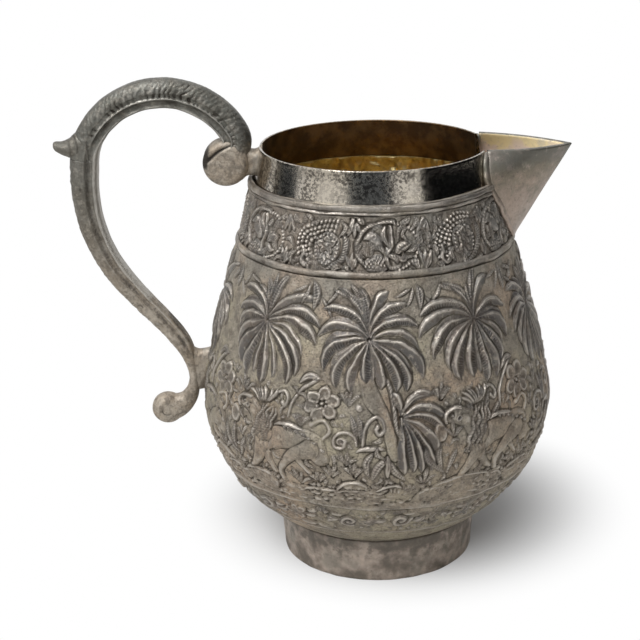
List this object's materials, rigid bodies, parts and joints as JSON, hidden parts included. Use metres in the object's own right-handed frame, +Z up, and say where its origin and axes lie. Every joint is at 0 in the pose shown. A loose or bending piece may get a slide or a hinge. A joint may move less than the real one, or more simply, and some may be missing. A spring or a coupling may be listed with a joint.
{
  "type": "cream jug",
  "caption": "Small silver cream jug with a chased palm-grove belly, medallion band, plain collar, keeled V spout, cast double-scroll handle and foot ring, gilt inside.",
  "frame": {"origin": "middle of the jug's footprint box on the surface it stands on; the body's axis is 11.68 mm along +X from it", "axes": "+X towards the spout, -X towards the handle, +Z up, +Y to the left seen from behind the handle"},
  "size_m": [0.0998, 0.069, 0.0978],
  "materials": {
    "tarnished_silver": "chased silver with dark tarnish in the recesses and rubbed high points",
    "burnished_silver": "burnished sheet silver with fine pits, gilt on the inside",
    "cast_silver": "cast and chased silver, rubbed on the edges"
  },
  "bodies": {
    "root": {"belly_bowl": "tarnished_silver", "frieze_band": "tarnished_silver", "collar_band": "burnished_silver", "shoulder_wire": "tarnished_silver", "collar_wire": "tarnished_silver", "spout": "burnished_silver", "foot_ring": "tarnished_silver", "handle_upper_scroll": "cast_silver", "handle_lower_scroll": "cast_silver", "upper_handle_lug": "cast_silver", "lower_handle_lug": "cast_silver"}
  },
  "joints": []
}
